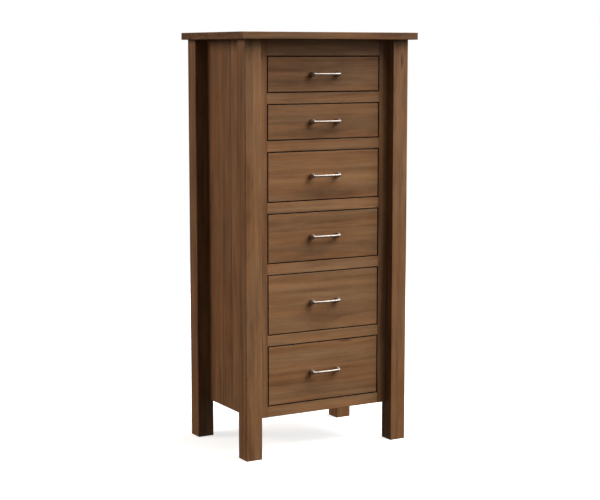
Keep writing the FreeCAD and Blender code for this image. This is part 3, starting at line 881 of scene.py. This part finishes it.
class CHEST_OT_build_cages(bpy.types.Operator):
    """Press the ball cages of the runners, an outer and an inner one on each middle member."""

    bl_idname = "chest.build_cages"
    bl_label = "Build the ball cages"

    def execute(self, context):
        design = context.scene.chest.cage
        low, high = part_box("drawer_1_middle_members")
        cage_length = (design.balls - 1) * design.ball_pitch + 2 * design.end_margin
        rear = high.y - design.end_space - cage_length / 2
        front = low.y + design.end_space + cage_length / 2
        patterns = {
            "outer": self.cage(design, cage_length, rear, design.outer_wall, design.outer_reach,
                               design.outer_rise),
            "inner": self.cage(design, cage_length, front, design.inner_wall, design.inner_reach,
                               design.inner_rise),
        }
        zinc = brushed_metal("ball_cage_zinc", CAGE_ZINC, 0.28, "Y", 0.5)
        for number in DRAWERS:
            low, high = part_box(f"drawer_{number}_middle_members")
            level = Matrix.Translation((0, 0, (low.z + high.z) / 2))
            for name, pattern in patterns.items():
                sides = [copied(pattern, "right", level),
                         copied(pattern, "left", level @ Matrix.Rotation(math.pi, 4, "Y"))]
                cages = joined_pieces(sides)
                cages.name = cages.data.name = f"drawer_{number}_{name}_cages"
                finished(cages, zinc, f"middle_{number}")
        for pattern in patterns.values():
            removed(pattern)
        return {"FINISHED"}

    def cage(self, design, cage_length, middle, wall, reach, rise):
        """A thin channel for the runner on the right, with a row of balls in each flange."""
        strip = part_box("outer_slides")[1].x
        clear()
        bpy.ops.mesh.primitive_grid_add(x_subdivisions=1, y_subdivisions=1, size=1.0,
                                        location=(strip - wall, middle, 0), rotation=(0, math.pi / 2, 0))
        sheet = bpy.context.object
        sheet.scale = (2 * rise, cage_length, 1.0)
        bpy.ops.object.transform_apply(location=True, rotation=True, scale=True)
        pick(sheet, "EDGE", lambda ends: abs(ends[0].z - ends[1].z) < rise)
        bpy.ops.mesh.extrude_edges_move(TRANSFORM_OT_translate={"value": (wall - reach, 0, 0)})
        bpy.ops.mesh.select_all(action="SELECT")
        bpy.ops.mesh.normals_make_consistent(inside=False)
        bpy.ops.object.mode_set(mode="OBJECT")
        applied(sheet, "SOLIDIFY", thickness=design.sheet, offset=0.0, use_even_offset=True)
        across = strip - (wall + reach) / 2
        return joined_pieces([sheet] + self.balls(design, across, middle, rise))

    def balls(self, design, across, middle, rise):
        """Two rows of small balls, kept to a few dozen faces each."""
        clear()
        bpy.ops.mesh.primitive_uv_sphere_add(segments=8, ring_count=6, radius=design.ball_radius)
        ball = bpy.context.object
        bpy.ops.object.shade_smooth()
        first = middle - (design.balls - 1) * design.ball_pitch / 2
        rows = [copied(ball, "ball", Matrix.Translation((across, first + index * design.ball_pitch,
                                                         side * rise)))
                for side in SIDES for index in range(design.balls)]
        removed(ball)
        return rows


# The studio.

def direction(azimuth, elevation):
    """Outward from the chest, by degrees round to the right from its front and degrees up."""
    turn, rise = math.radians(azimuth), math.radians(elevation)
    return Vector((math.sin(turn) * math.cos(rise), -math.cos(turn) * math.cos(rise), math.sin(rise)))


class CHEST_OT_build_stage(bpy.types.Operator):
    """Set up the floor, the soft lights, the surroundings and the camera."""

    bl_idname = "chest.build_stage"
    bl_label = "Set the stage"

    def execute(self, context):
        stage = context.scene.chest.stage
        self.floor(stage)
        rows = (("key_light", KEY_PLACE, stage.key_size, WHITE[:3], stage.key),
                ("top_light", TOP_PLACE, stage.top_size, WHITE[:3], stage.top),
                ("fill_light", FILL_PLACE, stage.fill_size, stage.fill_tint, stage.fill))
        for name, place, size, colour, power in rows:
            self.light(name, place, stage.light_distance, size, colour, power)
        self.surroundings(context, stage)
        self.camera(context, stage)
        context.scene.view_settings.view_transform = "Standard"
        return {"FINISHED"}

    def floor(self, stage):
        """A pale round sheet that fades into the backdrop, so that no horizon shows."""
        clear()
        bpy.ops.mesh.primitive_circle_add(vertices=96, radius=stage.floor_radius, fill_type="NGON",
                                          location=(0, 0, CAD_LOW.z))
        floor = settled(bpy.context.object, "floor")
        finish = Finish("pale_floor")
        grain = finish.noise(finish.place(), 30.0, 3.0, 0.6)
        colour = finish.bands(grain, [(0.3, opaque(stage.floor, 0.985)), (0.7, opaque(stage.floor))])
        x, y, z = finish.parts(finish.place())
        whole = 0.4 * stage.floor_radius
        fade = (x * x + y * y).ramp(stage.floor_radius ** 2, whole ** 2)
        finish.surface(Base_Color=colour, Roughness=0.8, Specular_IOR_Level=0.0, Alpha=fade,
                       Emission_Color=WHITE, Emission_Strength=stage.floor_glow)
        floor.data.materials.append(finish.material)
        floor.visible_glossy = False
        floor.visible_diffuse = False

    def light(self, name, place, distance, size, colour, power):
        """A soft box that faces the middle of the chest from a place and a distance."""
        away = direction(*place)
        data = bpy.data.lights.new(name, "AREA")
        data.shape = "SQUARE"
        data.size = size
        data.energy = power
        data.color = colour
        lamp = bpy.data.objects.new(name, data)
        lamp.location = (CAD_LOW + CAD_HIGH) / 2 + away * distance
        lamp.rotation_euler = (-away).to_track_quat("-Z", "Y").to_euler()
        bpy.context.scene.collection.objects.link(lamp)

    def surroundings(self, context, stage):
        """White behind the chest, and a dim even glow that lights it."""
        world = bpy.data.worlds.new("studio")
        world.use_nodes = True
        context.scene.world = world
        tree = world.node_tree
        backdrop = tree.nodes["Background"]
        path = tree.nodes.new("ShaderNodeLightPath")
        level = tree.nodes.new("ShaderNodeMix")
        tree.links.new(path.outputs["Is Camera Ray"], level.inputs[0])
        level.inputs[2].default_value = stage.ambient
        level.inputs[3].default_value = 1.0
        backdrop.inputs["Color"].default_value = WHITE
        tree.links.new(level.outputs[0], backdrop.inputs["Strength"])

    def camera(self, context, stage):
        """A view from the front left, looking a little down."""
        turn = math.radians(stage.azimuth)
        back = direction(-stage.azimuth, stage.elevation)
        right = Vector((math.cos(turn), -math.sin(turn), 0))
        case_middle = (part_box("front_left_leg")[0].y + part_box("rear_left_leg")[1].y) / 2
        target = Vector((0, case_middle, stage.aim_height)) + right * stage.aim_side
        data = bpy.data.cameras.new("camera")
        data.lens = stage.lens
        data.sensor_width = 36.0
        camera = bpy.data.objects.new("camera", data)
        camera.location = target + back * stage.distance
        camera.rotation_euler = (-back).to_track_quat("-Z", "Y").to_euler()
        context.scene.collection.objects.link(camera)
        context.scene.camera = camera


STEPS = (
    CHEST_OT_finish_case,
    CHEST_OT_finish_fronts,
    CHEST_OT_finish_boxes,
    CHEST_OT_finish_runners,
    CHEST_OT_build_pulls,
    CHEST_OT_build_screws,
    CHEST_OT_build_cages,
    CHEST_OT_build_stage,
)


class CHEST_PT_panel(bpy.types.Panel):
    """The steps that make the chest, in order."""

    bl_idname = "CHEST_PT_panel"
    bl_label = "Tall Chest of Drawers"
    bl_space_type = "VIEW_3D"
    bl_region_type = "UI"
    bl_category = "Chest"

    def draw(self, context):
        for step in STEPS:
            self.layout.operator(step.bl_idname)


CLASSES = (CHEST_PG_walnut, CHEST_PG_maple, CHEST_PG_pull, CHEST_PG_screw, CHEST_PG_cage, CHEST_PG_stage,
           CHEST_PG_settings) + STEPS + (CHEST_PT_panel,)


def register():
    for cls in CLASSES:
        bpy.utils.register_class(cls)
    bpy.types.Scene.chest = PointerProperty(type=CHEST_PG_settings)


def unregister():
    del bpy.types.Scene.chest
    for cls in reversed(CLASSES):
        bpy.utils.unregister_class(cls)


def main():
    """Registers the add-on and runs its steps."""
    register()
    for step in STEPS:
        group, action = step.bl_idname.split(".")
        getattr(getattr(bpy.ops, group), action)()


if __name__ == "__main__":
    main()
